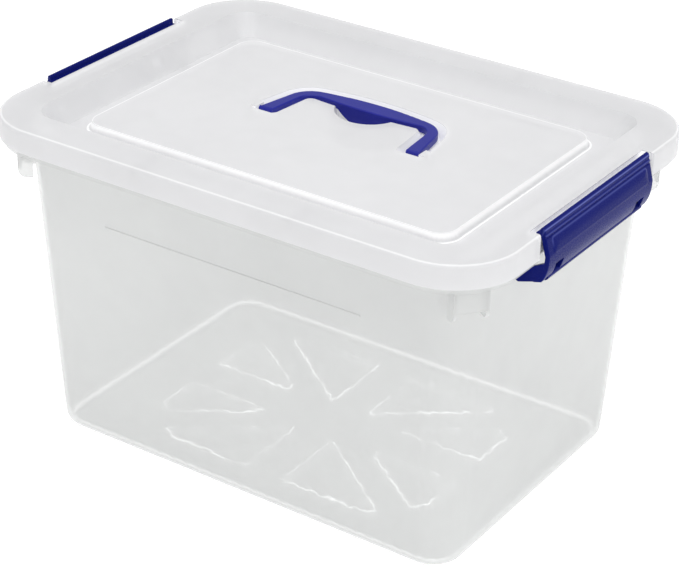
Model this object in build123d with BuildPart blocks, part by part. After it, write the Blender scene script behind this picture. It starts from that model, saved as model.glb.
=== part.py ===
from build123d import *
from math import atan2, degrees, sqrt
import os

# Storage tote: a deep tapered tub, a dished lid with a folding carry handle,
# and a hinged latch at each end. X runs along the length, Y across, Z up.
# The origin is at the middle of the underside. All sizes are in millimetres.

# Overall sizes
lid_length = 400.0
lid_width = 295.0
lid_top = 244.0

# Walls and clearances
tub_wall = 2.2
lid_wall = 2.0
rim_gap = 0.6
rest_gap = 0.4

# Rim of the lid and of the tub
lid_corner = 48.0
lid_edge = 2.8
skirt_depth = 16.5
lip_below_skirt = 4.2
tub_below_lid = 8.8

# Tub
overhang_end = 20.45
overhang_side = 19.45
wall_draft = 13.7
base_corner = 23.0
corner_growth = 7.5
foot_edge = 8.0
star_height = 1.4
star_channel = 32.0
star_seam_side = 9.0
star_seam_end = 15.0
star_margin_end = 51.35
star_margin_side = 28.85
star_corner = 34.0
lug_width = 24.0
lug_reach = 9.0
lug_drop = 25.0
lug_round = 6.0

# Lid dish and raised panel
rim_end = 30.0
rim_side = 27.5
dish_corner = 18.0
dish_slope = 12.0
dish_depth = 15.0
channel_end = 11.1
channel_side = 11.6
panel_corner = 13.0
panel_slope = 2.4
panel_drop = 9.5
rib_thick = 1.6
rib_spacing = 123.0

# Latches, their hinges and their pockets in the rim
latch_half = 68.5
latch_side_gap = 5.0
recess_depth = 4.5
pocket_drop = 3.8
pocket_width = 4.5
latch_wall = 2.8
latch_out = 3.2
latch_above = 2.0
toe_length = 4.0
toe_thick = 2.1
toe_set = 1.5
crest_in = 0.9
crest_out = 1.3
band_height = 7.0
band_lean = 1.2
band_in = 4.4
band_low = 0.5
foot_in = 10.0
foot_drop = 1.2
latch_edge = 0.9
hinge_in = 16.8
hinge_drop = 35.5
hinge_boss = 4.2
stub_radius = 2.2
stub_clearance = 0.08
ear_width = 7.0
ear_gap = 0.6
window_centre = 53.0
window_width = 10.0
window_top = 9.0
barrel_radius = 2.6
barrel_in = 5.2
barrel_rise = 1.6

# Carry handle and its recess in the lid
handle_thick = 5.0
root_outer = 65.5
root_inner = 55.0
tip_outer = 57.5
tip_inner = 51.0
grip_outer_side = 41.8
grip_outer_mid = 49.2
grip_inner_side = 38.2
grip_inner_mid = 34.7
grip_outer_round = 20.0
grip_inner_round = 11.0
handle_edge = 1.1
pivot_y = 1.0
pin_radius = 1.7
pin_clearance = 0.06
pin_reach = 3.4
web_half = 25.0
web_thick = 3.2
web_depth = 15.0
groove_gap = 1.5
groove_spread = 4.4
groove_under = 1.5
end_gap = 0.5
well_half = 24.0
well_front = 13.2
well_side_gap = 3.0
boss_gap = 1.0
boss_length = 8.0
boss_half = 4.5
pin_end_gap = 0.6

# Heights and places that follow from the sizes above
skirt_bottom = lid_top - skirt_depth
lip_bottom = skirt_bottom - lip_below_skirt
tub_top = lid_top - tub_below_lid
lip_inset = lid_wall + rim_gap
top_length = lid_length - 2 * overhang_end
top_width = lid_width - 2 * overhang_side
top_corner = base_corner + corner_growth
base_length = top_length - 2 * wall_draft
base_width = top_width - 2 * wall_draft
star_length = base_length - 2 * star_margin_end
star_width = base_width - 2 * star_margin_side
dish_length = lid_length - 2 * rim_end
dish_width = lid_width - 2 * rim_side
panel_length = dish_length - 2 * (dish_slope + channel_end + panel_slope)
panel_width = dish_width - 2 * (dish_slope + channel_side + panel_slope)
dish_floor = lid_top - dish_depth
panel_top = lid_top - panel_drop
recess_half = latch_half + latch_side_gap
recess_face = lid_length / 2 - recess_depth
pocket_start = recess_face - pocket_width
hinge_x = lid_length / 2 - hinge_in
hinge_z = lid_top - hinge_drop
toe_root = recess_face + toe_set
toe_tip = toe_root - toe_length
toe_low = lid_top - pocket_drop
toe_radius = sqrt((toe_tip - hinge_x) ** 2 + (toe_low - hinge_z) ** 2)
handle_bottom = panel_top - handle_thick
pivot_z = panel_top - handle_thick / 2
groove_floor = handle_bottom - groove_under
groove_lean = degrees(atan2(groove_spread, panel_top - groove_floor))
well_floor = panel_top - web_depth - groove_under

os.makedirs("parts", exist_ok=True)


def rim_outline(inset):
    """Plan outline of the rim, drawn in by inset all round, with a recess for each latch."""
    half = recess_half + inset
    with BuildSketch() as outline:
        RectangleRounded(lid_length - 2 * inset, lid_width - 2 * inset, lid_corner - inset)
        with Locations((lid_length / 2 - inset, 0), (inset - lid_length / 2, 0)):
            Rectangle(2 * recess_depth, 2 * half, mode=Mode.SUBTRACT)
        corners = outline.vertices().filter_by_position(Axis.Y, -half - 0.1, half + 0.1)
        fillet(corners, 0.45 * recess_depth)
    return outline.sketch


def rounded_block(bottom, top):
    """Loft between two rounded rectangles, each given as height, length, width and corner."""
    with BuildPart() as block:
        for height, length, width, corner in (bottom, top):
            with BuildSketch(Plane.XY.offset(height)):
                RectangleRounded(length, width, corner)
        loft()
    return block.part


def swing_height(radius, x):
    """Height of the point of a latch's swing of that radius, at distance x from the middle."""
    return hinge_z + sqrt(radius ** 2 - (x - hinge_x) ** 2)


def pocket_profile(radius, start, end, ceiling):
    """Side profile of the room above a latch pocket: a flat floor, then one that follows the swing."""
    floor = swing_height(radius, toe_tip)
    middle = (toe_tip + end) / 2
    with BuildSketch(Plane.XZ) as profile:
        with BuildLine():
            Polyline((toe_tip, floor), (start, floor), (start, ceiling), (end, ceiling),
                     (end, swing_height(radius, end)))
            ThreePointArc((end, swing_height(radius, end)), (middle, swing_height(radius, middle)),
                          (toe_tip, floor))
        make_face()
    return profile.sketch


def bail_outline():
    """Plan outline of the carry handle: two splayed arms and a grip bowed outwards."""
    end_y = pivot_y - handle_thick / 2
    with BuildSketch() as bail:
        with BuildLine():
            Line((root_outer, end_y), (tip_outer, grip_outer_side))
            ThreePointArc((tip_outer, grip_outer_side), (0, grip_outer_mid), (-tip_outer, grip_outer_side))
            Line((-tip_outer, grip_outer_side), (-root_outer, end_y))
            Line((-root_outer, end_y), (-root_inner, end_y))
            Line((-root_inner, end_y), (-tip_inner, grip_inner_side))
            ThreePointArc((-tip_inner, grip_inner_side), (0, grip_inner_mid), (tip_inner, grip_inner_side))
            Line((tip_inner, grip_inner_side), (root_inner, end_y))
            Line((root_inner, end_y), (root_outer, end_y))
        make_face()
        above_arms = bail.vertices().filter_by(lambda v: v.Y > end_y + 1)
        fillet(above_arms.filter_by(lambda v: abs(v.X) > (tip_outer + tip_inner) / 2), grip_outer_round)
        above_arms = bail.vertices().filter_by(lambda v: v.Y > end_y + 1)
        inner_corners = above_arms.filter_by(lambda v: abs(abs(v.X) - tip_inner) < 0.1)
        fillet(inner_corners.filter_by(lambda v: abs(v.Y - grip_inner_side) < 0.1), grip_inner_round)
    return bail.sketch


def groove_outline(grow):
    """Plan outline of the recess that the handle folds into, grown on all sides by grow."""
    with BuildSketch() as groove:
        add(bail_outline())
        offset(amount=groove_gap + grow)
        with Locations((0, pivot_y - handle_thick / 2 - end_gap - grow)):
            Rectangle(4 * root_outer, 4 * root_outer, align=(Align.CENTER, Align.MAX), mode=Mode.SUBTRACT)
    return groove.sketch


def well_outline(grow):
    """Plan outline of the finger well: a bow at the front, and room for the handle's web behind it."""
    bow_y = grip_inner_mid - groove_gap
    back_y = pivot_y + sqrt((grip_inner_mid + web_thick - pivot_y) ** 2 + (web_depth - handle_thick / 2) ** 2)
    with BuildSketch() as well:
        with BuildLine():
            ThreePointArc((-well_half - grow, bow_y), (0, well_front - grow), (well_half + grow, bow_y))
            Line((well_half + grow, bow_y), (-well_half - grow, bow_y))
        make_face()
        with Locations((0, bow_y - grow)):
            Rectangle(2 * (web_half + well_side_gap + grow), back_y + groove_under + 2 * grow - bow_y,
                      align=(Align.CENTER, Align.MIN))
    return well.sketch


# ---------------------------------------------------------------- tub
# Eight wedge pads on the floor point at the middle, with channels between them.
with BuildSketch(Plane.XY.offset(tub_wall)) as star:
    RectangleRounded(star_length, star_width, star_corner)
    Rectangle(star_channel, star_width, mode=Mode.SUBTRACT)
    Rectangle(star_length, star_channel, mode=Mode.SUBTRACT)
    star_lean = Vector(star_length, star_width).get_angle(Vector(1, 0))
    for turn, turned_way in ((star_lean, 1), (180 - star_lean, -1), (180 + star_lean, 1), (-star_lean, -1)):
        with Locations(Rotation(0, 0, turn)):
            with Locations((0, turned_way * (star_seam_side - star_seam_end) / 2)):
                Rectangle(star_length, star_seam_side + star_seam_end, align=(Align.MIN, Align.CENTER),
                          mode=Mode.SUBTRACT)
    Circle(star_channel, mode=Mode.SUBTRACT)

floor_draft = wall_draft * tub_wall / tub_top
with BuildPart() as tub_inside:
    add(rounded_block((tub_wall, base_length + 2 * (floor_draft - tub_wall),
                       base_width + 2 * (floor_draft - tub_wall), base_corner - tub_wall),
                      (tub_top, top_length - 2 * tub_wall, top_width - 2 * tub_wall,
                       top_corner - tub_wall)))
    fillet(tub_inside.edges().group_by(Axis.Z)[0], foot_edge - tub_wall)

# The ears that carry a latch, and the stubs on them that it turns on, at the +X end.
ear_outer = latch_half - latch_wall - ear_gap
with BuildSketch(Plane.XZ) as ear_profile:
    with Locations((hinge_x, hinge_z)):
        Circle(hinge_boss)
        Rectangle(2 * hinge_boss, tub_top - tub_wall / 2 - hinge_z, align=(Align.CENTER, Align.MIN))
with BuildPart() as ear_pair:
    for end in (1, -1):
        extrude(ear_profile.sketch.moved(Location((0, end * ear_outer, 0))), amount=end * ear_width)
    with Locations((hinge_x, 0, hinge_z)):
        Cylinder(stub_radius, 2 * (ear_outer + ear_gap + latch_wall), rotation=(90, 0, 0))
        Box(3 * hinge_boss, 2 * (ear_outer - ear_width), 3 * hinge_boss, mode=Mode.SUBTRACT)

# A corner lug: a rounded box, open below, drawn pointing along X from its corner's centre.
lug_height = lug_drop + tub_top - lip_bottom - tub_wall / 2
with BuildPart() as lug:
    with BuildSketch(Plane.XZ) as lug_side:
        with Locations((top_corner - tub_wall, 0)):
            Rectangle(lug_reach + tub_wall, lug_height, align=(Align.MIN, Align.MAX))
        fillet(lug_side.vertices().group_by(Axis.Y)[0].sort_by(Axis.X)[-1], lug_round)
    extrude(amount=lug_width / 2, both=True)
    with BuildSketch(Plane.XZ):
        with Locations((top_corner, -tub_wall)):
            Rectangle(lug_reach - tub_wall, 2 * lug_height, align=(Align.MIN, Align.MAX))
    extrude(amount=lug_width / 2 - tub_wall, both=True, mode=Mode.SUBTRACT)

with BuildPart() as tub:
    add(rounded_block((0, base_length, base_width, base_corner),
                      (tub_top, top_length, top_width, top_corner)))
    fillet(tub.edges().group_by(Axis.Z)[0], foot_edge)
    # the turned-down rim: a flange, and a lip that shows below the lid
    with BuildSketch(Plane.XY.offset(tub_top)):
        add(rim_outline(lip_inset))
    extrude(amount=-tub_wall)
    with BuildSketch(Plane.XY.offset(lip_bottom)):
        add(rim_outline(lip_inset))
        add(rim_outline(lip_inset + tub_wall), mode=Mode.SUBTRACT)
    extrude(amount=tub_top - lip_bottom)
    add(ear_pair.part)
    add(Rotation(0, 0, 180) * ear_pair.part)
    for sx in (1, -1):
        for sy in (1, -1):
            towards = Vector(sx * lid_length, sy * lid_width, 0)
            lug_plane = Plane(origin=(sx * (top_length / 2 - top_corner), sy * (top_width / 2 - top_corner),
                                      tub_top - tub_wall / 2), x_dir=towards, z_dir=(0, 0, 1))
            add(lug_plane.location * lug.part)
    add(tub_inside.part, mode=Mode.SUBTRACT)
    extrude(star.sketch, amount=star_height)

tub.part.label = "tub"
export_step(tub.part, "parts/tub.step")

# ---------------------------------------------------------------- latches
# One profile, drawn at the +X end: a hook over the rim, a plate, and a band that turns under.
plate_x = lid_length / 2 + latch_out
latch_top = lid_top + latch_above
toe_high = toe_low + toe_thick
toe_middle = (toe_root + toe_tip) / 2
turn_x = plate_x - band_lean
band_x = plate_x - band_in
foot_x = plate_x - foot_in
foot_low = hinge_z - foot_drop
with BuildSketch(Plane.XZ) as latch_profile:
    with BuildLine():
        Polyline((toe_tip, toe_low), (toe_tip, toe_high), (toe_root - crest_in, toe_high),
                 (toe_root - crest_in, latch_top), (toe_root + crest_out, latch_top), (plate_x, skirt_bottom),
                 (turn_x, hinge_z + band_height), (band_x, hinge_z + band_low), (foot_x, foot_low),
                 (foot_x, foot_low + latch_wall), (band_x - latch_wall / 2, hinge_z + band_low + latch_wall),
                 (turn_x - latch_wall, hinge_z + band_height + latch_wall / 2),
                 (plate_x - latch_wall, skirt_bottom - latch_edge),
                 (toe_root, swing_height(toe_radius, toe_root)))
        ThreePointArc((toe_root, swing_height(toe_radius, toe_root)),
                      (toe_middle, swing_height(toe_radius, toe_middle)), (toe_tip, toe_low))
    make_face()

with BuildSketch(Plane.XZ) as cheek_profile:
    with BuildLine():
        Polyline((hinge_x, hinge_z - hinge_boss), (band_x, hinge_z + band_low),
                 (turn_x, hinge_z + band_height), (plate_x, skirt_bottom),
                 (plate_x - latch_wall, lip_bottom - latch_edge), (hinge_x, hinge_z + hinge_boss), close=True)
    make_face()
    with Locations((hinge_x, hinge_z)):
        Circle(hinge_boss)
        Circle(stub_radius + stub_clearance, mode=Mode.SUBTRACT)

for name, side in (("latch_right", 1), ("latch_left", -1)):
    with BuildPart() as latch:
        extrude(latch_profile.sketch, amount=latch_half, both=True)
        for end in (1, -1):
            extrude(cheek_profile.sketch.moved(Location((0, end * latch_half, 0))), amount=end * latch_wall)
        # two windows in the turned-under band, each with a round bar behind it
        with Locations((plate_x, window_centre, hinge_z + window_top),
                       (plate_x, -window_centre, hinge_z + window_top)):
            Box(2 * (foot_in - hinge_boss), window_width, 2 * window_top,
                align=(Align.CENTER, Align.CENTER, Align.MAX), mode=Mode.SUBTRACT)
        with BuildSketch(Plane.XZ):
            with Locations((plate_x - barrel_in, hinge_z + barrel_rise)):
                Circle(barrel_radius)
        extrude(amount=window_centre + window_width, both=True)
        fillet(latch.edges().group_by(Axis.Z)[-1], latch_edge)
        if side < 0:
            mirror(about=Plane.YZ, mode=Mode.REPLACE)
    latch.part.label = name
    export_step(latch.part, "parts/" + name + ".step")

# ---------------------------------------------------------------- carry handle
with BuildSketch() as web_plan:
    with BuildLine():
        ThreePointArc((tip_inner, grip_inner_side), (0, grip_inner_mid), (-tip_inner, grip_inner_side))
        Line((-tip_inner, grip_inner_side), (-tip_inner, grip_inner_side + web_thick))
        ThreePointArc((-tip_inner, grip_inner_side + web_thick), (0, grip_inner_mid + web_thick),
                      (tip_inner, grip_inner_side + web_thick))
        Line((tip_inner, grip_inner_side + web_thick), (tip_inner, grip_inner_side))
    make_face()

with BuildPart() as web:
    with BuildSketch(Plane.XZ) as web_front:
        with BuildLine():
            ThreePointArc((-web_half, handle_bottom), (0, panel_top - web_depth), (web_half, handle_bottom))
            Polyline((web_half, handle_bottom), (web_half, handle_bottom + 1), (-web_half, handle_bottom + 1),
                     (-web_half, handle_bottom))
        make_face()
    extrude(amount=-2 * grip_outer_mid)
    extrude(web_plan.sketch.moved(Location((0, 0, panel_top - web_depth))), amount=web_depth,
            mode=Mode.INTERSECT)

# The pins stand out of the arms' outer sides and turn in the lid.
pin_root = root_inner + handle_thick
pin_tip = root_outer + boss_gap + pin_reach

# What is left outside the half-round ends of the two arms.
with BuildPart() as arm_end_waste:
    with Locations((0, pivot_y, pivot_z)):
        Box(4 * root_outer, handle_thick, 2 * handle_thick, align=(Align.CENTER, Align.MAX, Align.CENTER))
        Cylinder(handle_thick / 2, 4 * root_outer, rotation=(0, 90, 0), mode=Mode.SUBTRACT)

with BuildPart() as carry_handle:
    extrude(bail_outline().moved(Location((0, 0, handle_bottom))), amount=handle_thick)
    fillet(carry_handle.edges().filter_by(Plane.XY).group_by(Axis.Z)[-1], handle_edge)
    add(arm_end_waste.part, mode=Mode.SUBTRACT)
    add(web.part)
    with BuildSketch(Plane.YZ.offset(pin_root)):
        with Locations((pivot_y, pivot_z)):
            Circle(pin_radius)
    pins = extrude(amount=pin_tip - pin_root)
    mirror(pins, about=Plane.YZ)

carry_handle.part.label = "carry_handle"
export_step(carry_handle.part, "parts/carry_handle.step")

# ---------------------------------------------------------------- lid
dish_inner = rounded_block((dish_floor, dish_length - 2 * dish_slope, dish_width - 2 * dish_slope,
                            dish_corner / 2), (lid_top, dish_length, dish_width, dish_corner))
dish_outer = rounded_block((dish_floor - lid_wall, dish_length - 2 * dish_slope + 2 * lid_wall,
                            dish_width - 2 * dish_slope + 2 * lid_wall, dish_corner / 2 + lid_wall),
                           (lid_top - lid_wall / 2, dish_length + 2 * lid_wall, dish_width + 2 * lid_wall,
                            dish_corner + lid_wall))
panel_outer = rounded_block((dish_floor - lid_wall / 2, panel_length + 2 * panel_slope,
                             panel_width + 2 * panel_slope, panel_corner + panel_slope),
                            (panel_top, panel_length, panel_width, panel_corner))
panel_inner = rounded_block((dish_floor - lid_wall, panel_length + 2 * panel_slope - 2 * lid_wall,
                             panel_width + 2 * panel_slope - 2 * lid_wall, panel_corner),
                            (panel_top - lid_wall, panel_length - 2 * lid_wall, panel_width - 2 * lid_wall,
                             panel_corner - lid_wall))

with BuildPart() as lid:
    with BuildSketch(Plane.XY.offset(skirt_bottom)):
        RectangleRounded(lid_length, lid_width, lid_corner)
    extrude(amount=skirt_depth)
    fillet(lid.edges().filter_by(Plane.XY).group_by(Axis.Z)[-1], lid_edge)
    extrude(rim_outline(0).moved(Location((0, 0, skirt_bottom))), amount=skirt_depth, mode=Mode.INTERSECT)
    extrude(rim_outline(lid_wall).moved(Location((0, 0, skirt_bottom))), amount=skirt_depth - lid_wall,
            mode=Mode.SUBTRACT)
    add(dish_outer)
    add(dish_inner, mode=Mode.SUBTRACT)
    add(panel_outer)
    add(panel_inner, mode=Mode.SUBTRACT)
    # recess with sloping sides, and finger well, for the folded handle
    with BuildSketch(Plane.XY.offset(groove_floor - lid_wall)):
        add(groove_outline(lid_wall / 2))
    extrude(amount=panel_top - lid_wall / 2 - groove_floor + lid_wall, taper=-groove_lean)
    extrude(well_outline(lid_wall).moved(Location((0, 0, well_floor - lid_wall))),
            amount=panel_top - lid_wall / 2 - well_floor + lid_wall)
    with BuildSketch(Plane.XY.offset(groove_floor)):
        add(groove_outline(0))
    extrude(amount=panel_top + lid_wall / 4 - groove_floor, taper=-groove_lean, mode=Mode.SUBTRACT)
    extrude(well_outline(0).moved(Location((0, 0, well_floor))), amount=panel_top, mode=Mode.SUBTRACT)
    # a boss outside each arm, with a blind hole for the handle's pin
    for side in (1, -1):
        with Locations((side * (root_outer + boss_gap + boss_length / 2), pivot_y, groove_floor - lid_wall)):
            Box(boss_length, 2 * boss_half, panel_top - groove_floor + lid_wall,
                align=(Align.CENTER, Align.CENTER, Align.MIN))
        with Locations((side * (root_outer + pin_tip + pin_end_gap) / 2, pivot_y, pivot_z)):
            Cylinder(pin_radius + pin_clearance, pin_tip + pin_end_gap - root_outer, rotation=(0, 90, 0),
                     mode=Mode.SUBTRACT)
    # a pocket in each end of the rim takes the latch's toe
    below_pocket = pocket_profile(toe_radius - rest_gap - lid_wall, pocket_start - lid_wall,
                                  recess_face - lid_wall / 2, lid_top - lid_wall / 2)
    above_pocket = pocket_profile(toe_radius - rest_gap, pocket_start, recess_face + lid_wall,
                                  lid_top + lid_wall)
    for side in (1, -1):
        turned = Rotation(0, 0, 0 if side > 0 else 180)
        extrude(turned * below_pocket, amount=recess_half + lid_wall, both=True)
        extrude(turned * above_pocket, amount=recess_half, both=True, mode=Mode.SUBTRACT)
    # ribs under the rim, which rest on the tub
    rib_x = rib_spacing / 2
    rib_start = dish_width / 2 + lid_wall / 2
    rib_length = lid_width / 2 - lid_wall / 2 - rib_start
    rib_height = lid_top - lid_wall / 2 - tub_top - rest_gap
    with Locations((rib_x, rib_start), (-rib_x, rib_start), (rib_x, -rib_start - rib_length),
                   (-rib_x, -rib_start - rib_length)):
        with Locations((0, 0, tub_top + rest_gap)):
            Box(rib_thick, rib_length, rib_height, align=(Align.CENTER, Align.MIN, Align.MIN))

lid.part.label = "lid"
export_step(lid.part, "parts/lid.step")
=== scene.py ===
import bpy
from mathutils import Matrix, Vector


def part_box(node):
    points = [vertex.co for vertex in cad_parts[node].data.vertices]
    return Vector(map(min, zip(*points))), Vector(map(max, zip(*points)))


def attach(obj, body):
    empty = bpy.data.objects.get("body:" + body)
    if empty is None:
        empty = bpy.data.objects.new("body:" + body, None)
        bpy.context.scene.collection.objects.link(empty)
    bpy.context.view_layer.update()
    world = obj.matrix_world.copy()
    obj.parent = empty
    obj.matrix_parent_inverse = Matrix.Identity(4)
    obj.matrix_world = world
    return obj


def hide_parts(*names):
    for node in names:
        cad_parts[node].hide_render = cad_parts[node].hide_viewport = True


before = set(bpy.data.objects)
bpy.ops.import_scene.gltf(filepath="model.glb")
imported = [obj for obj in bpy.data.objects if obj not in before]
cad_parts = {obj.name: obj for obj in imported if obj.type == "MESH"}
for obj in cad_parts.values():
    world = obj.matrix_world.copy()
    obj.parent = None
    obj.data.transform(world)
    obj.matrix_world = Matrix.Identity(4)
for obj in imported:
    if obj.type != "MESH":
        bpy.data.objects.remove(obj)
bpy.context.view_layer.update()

import math

import bmesh
import bpy
import numpy as np
from mathutils import Matrix, Vector

MM = 0.001

# ------------------------------------------------------------------ studio
# A white sweep under a large softbox, a little in front of the tote, with a second softbox
# low at the right hand that lights the left slope of the lid's dish, and a pale room all round.
camera_turn = math.radians(33.94)
camera_height = math.radians(28.01)
camera_roll = math.radians(1.156)
camera_distance = 1.5528
camera_target = Vector((0, 0, 0.12215))
camera_back = Vector((math.sin(camera_turn) * math.cos(camera_height),
                      -math.cos(camera_turn) * math.cos(camera_height),
                      math.sin(camera_height)))
level_right = Vector((math.cos(camera_turn), math.sin(camera_turn), 0))
level_up = camera_back.cross(level_right)
camera_right = level_right * math.cos(camera_roll) + level_up * math.sin(camera_roll)
camera_up = level_up * math.cos(camera_roll) - level_right * math.sin(camera_roll)

camera = bpy.data.objects.new("camera", bpy.data.cameras.new("camera"))
camera.data.sensor_width = 36
camera.data.lens = 117.49
camera.data.shift_x = 0.0057
camera.data.shift_y = -0.0115
camera.matrix_world = Matrix.Translation(camera_target + camera_back * camera_distance) @ Matrix(
    (camera_right, camera_up, camera_back)).transposed().to_4x4()
bpy.context.scene.collection.objects.link(camera)
bpy.context.scene.camera = camera
bpy.context.scene.view_settings.view_transform = "Standard"

floor_half = 30.0
floor_mesh = bpy.data.meshes.new("floor")
floor_mesh.from_pydata([(-floor_half, -floor_half, 0), (floor_half, -floor_half, 0),
                        (floor_half, floor_half, 0), (-floor_half, floor_half, 0)], [], [(0, 1, 2, 3)])
floor = bpy.data.objects.new("floor", floor_mesh)
bpy.context.scene.collection.objects.link(floor)

floor_paint = bpy.data.materials.new("white_sweep")
floor_paint.use_nodes = True
floor_shader = floor_paint.node_tree.nodes["Principled BSDF"]
floor_shader.inputs["Base Color"].default_value = (0.93, 0.93, 0.93, 1)
floor_shader.inputs["Roughness"].default_value = 0.9
floor_shader.inputs["Specular IOR Level"].default_value = 0.0
floor_shader.inputs["Emission Color"].default_value = (1, 1, 1, 1)
floor_shader.inputs["Emission Strength"].default_value = 0.34
floor_mesh.materials.append(floor_paint)

room = bpy.data.worlds.new("white_room")
room.use_nodes = True
room.node_tree.nodes["Background"].inputs["Color"].default_value = (1, 1, 1, 1)
room.node_tree.nodes["Background"].inputs["Strength"].default_value = 0.57
bpy.context.scene.world = room


def softbox(name, place, size, power):
    """A square area light of that size and power at place, turned towards the tote."""
    lamp = bpy.data.objects.new(name, bpy.data.lights.new(name, "AREA"))
    lamp.data.size = size
    lamp.data.energy = power
    lamp.location = place
    lamp.rotation_euler = (camera_target - Vector(place)).to_track_quat("-Z", "Y").to_euler()
    bpy.context.scene.collection.objects.link(lamp)


softbox("overhead_softbox", (0.1, -0.4, 2.5), 2.2, 34)
softbox("right_softbox", (2.2, -0.5, 1.0), 1.4, 7)

# ------------------------------------------------------------------ tub
# One injection moulding in natural polypropylene, milky and half see-through. The inside of
# its tapered walls is reeded, a scalloped foot runs round the floor, and eight raised wedges
# with fine wavy outlines point at its middle. The foot's rounded rows carry a painted highlight,
# and the wavy outlines are painted lines, whiter and more opaque as thicker plastic, with a
# painted glow for their highlight. Lugs, latch ears and a lip stiffen the top.
lid_low, lid_high = (np.array(corner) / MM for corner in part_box("lid"))
tub_high = np.array(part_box("tub")[1]) / MM
tub_top = tub_high[2]
wall = 2.2
lip_half = tub_high[:2]
lip_corner = 45.4
lip_bottom = lid_low[2] + 7.3
top_half = lid_high[:2] - np.array([20.45, 19.45])
top_corner = 30.5
draft = 13.7
base_half = top_half - draft
base_corner = 23.0
foot_round = 8.0
flute_pitch = 8.3
flute_depth = 0.28
scallop_pitch = 12.4
scallop_depth = 2.0
end_wedge = [(50.0, 16.5), (114.5, 16.5), (114.5, 52.0), (105.0, 60.5), (52.0, 23.5)]
side_wedge = [(17.5, 24.0), (90.0, 79.0), (80.0, 85.5), (15.5, 85.5), (15.5, 27.0)]
wedge_height = 1.3
recess_half = 73.5
recess_x = 195.5
top_round = 0.8
ring_count = 720
arc_points = 6


def ring_columns(count, half, corner):
    """Columns round a rounded rectangle, evenly spaced along it. Each column has the corner
    centre it stands off, as shares of the straight half lengths, its outward normal, and its
    distance along the outline."""
    straight = 2 * (half - corner)
    arc = corner * math.pi / 2
    lengths = np.array([straight[1], arc, straight[0], arc] * 2)
    starts = np.concatenate([[0], np.cumsum(lengths)])
    along = (np.arange(count) + 0.5) / count * starts[-1]
    piece = np.searchsorted(starts, along, side="right") - 1
    share = (along - starts[piece]) / lengths[piece]
    quarter = piece // 2
    angle = (quarter + np.where(piece % 2 == 1, share, 0)) * math.pi / 2
    normal = np.stack([np.cos(angle), np.sin(angle)])
    run = np.where(piece % 2 == 1, 1, 2 * share - 1)
    side = np.stack([-np.sin(quarter * math.pi / 2), np.cos(quarter * math.pi / 2)])
    out = np.stack([np.cos(quarter * math.pi / 2), np.sin(quarter * math.pi / 2)])
    return out + side * run, normal, along, starts[-1]


def rings(rows, columns):
    """A grid of points, one ring for each row of half length, half width, corner radius and
    height: a point is its corner centre plus the radius along its normal."""
    centre, normal = columns[0], columns[1]
    half = rows[:, :2, None] - rows[:, 2, None, None]
    flat = centre[None] * half + normal[None] * rows[:, 2, None, None]
    high = np.broadcast_to(rows[:, 3, None], flat[:, 0].shape)
    return np.stack([flat[:, 0], flat[:, 1], high], axis=2)


def grid_faces(rows, columns):
    """Quads between neighbouring rings of a grid, whose last column meets its first. Seen from
    outside, a face's corners run anticlockwise."""
    row, column = np.meshgrid(np.arange(rows - 1), np.arange(columns), indexing="ij")
    beside = (column + 1) % columns
    corners = [row * columns + column, (row + 1) * columns + column,
               (row + 1) * columns + beside, row * columns + beside]
    return np.stack(corners, axis=2).reshape(-1, 4).tolist()


def moulding(name, points, faces, masks=None, sharp=35):
    """A mesh object from points in millimetres, faces that point outwards and a value for each
    point in every mask, with smooth shading except over edges sharper than the given angle."""
    mesh = bpy.data.meshes.new(name)
    mesh.from_pydata((np.asarray(points) * MM).tolist(), [], faces)
    for mask, values in (masks or {}).items():
        mesh.attributes.new(mask, "FLOAT", "POINT").data.foreach_set("value", values.astype(np.float32))
    mesh.shade_smooth()
    mesh.set_sharp_from_angle(angle=math.radians(sharp))
    mesh.validate()
    piece = bpy.data.objects.new(name, mesh)
    bpy.context.scene.collection.objects.link(piece)
    return piece


def wall_row(height, inset):
    """The tub's outline at a height, drawn in by inset from the outer face of the wall."""
    grown = draft * height / tub_top
    corner = base_corner + (top_corner - base_corner) * height / tub_top
    return [base_half[0] + grown - inset, base_half[1] + grown - inset, corner - inset, height]


def lip_row(inset, height):
    """The turned-down lip's outline at a height, drawn in by inset from its outer face."""
    return [lip_half[0] - inset, lip_half[1] - inset, lip_corner - inset, height]


def smooth_step(value, start, end):
    """0 before start, 1 after end, and a smooth S between them."""
    share = np.clip((value - start) / (end - start), 0, 1)
    return share * share * (3 - 2 * share)


def inside_distance(points, outline):
    """How far points are inside a convex outline that runs anticlockwise: the least of their
    distances from the lines of its sides, below 0 outside it."""
    corners = np.array(outline)
    along = np.roll(corners, -1, axis=0) - corners
    along /= np.linalg.norm(along, axis=1)[:, None]
    away = points[..., None, :] - corners
    return np.min(along[:, 0] * away[..., 1] - along[:, 1] * away[..., 0], axis=-1)


inner_round = foot_round - wall
floor_row = np.array(wall_row(0, foot_round))
floor_row[3] = wall
floor_rows = [floor_row * [share, share, share, 1] for share in np.linspace(0.04, 1, 56)]
quarter_turn = np.radians(np.linspace(0, 90, 7))
inner_foot = [wall_row(wall + inner_round * (1 - math.cos(turn)),
                       wall + inner_round * (1 - math.sin(turn))) for turn in quarter_turn[1:]]
inner_wall = [wall_row(height, wall) for height in np.linspace(foot_round + 3, tub_top - top_round, 14)]
inner_brink = wall - top_round
lip_rows = ([[top_half[0] - inner_brink, top_half[1] - inner_brink, top_corner - inner_brink, tub_top]]
            + [lip_row(inset + 0.1, tub_top - drop)
               for inset, drop in ((12, 0.0), (1.0, 0.0), (0.2, 0.3), (0.0, 1.2))]
            + [lip_row(inset, height)
               for inset, height in ((0.0, tub_top - 5), (0.0, lip_bottom + 0.8), (0.3, lip_bottom),
                                     (wall - 0.3, lip_bottom), (wall, lip_bottom + 0.8),
                                     (wall, tub_top - wall - 1.0), (wall + 1.0, tub_top - wall))])
outer_wall = [wall_row(height, -top_round if height > tub_top - wall - 0.1 else 0)
              for height in (tub_top - wall, *np.linspace(tub_top - wall - 1, foot_round + 3, 10))]
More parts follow.
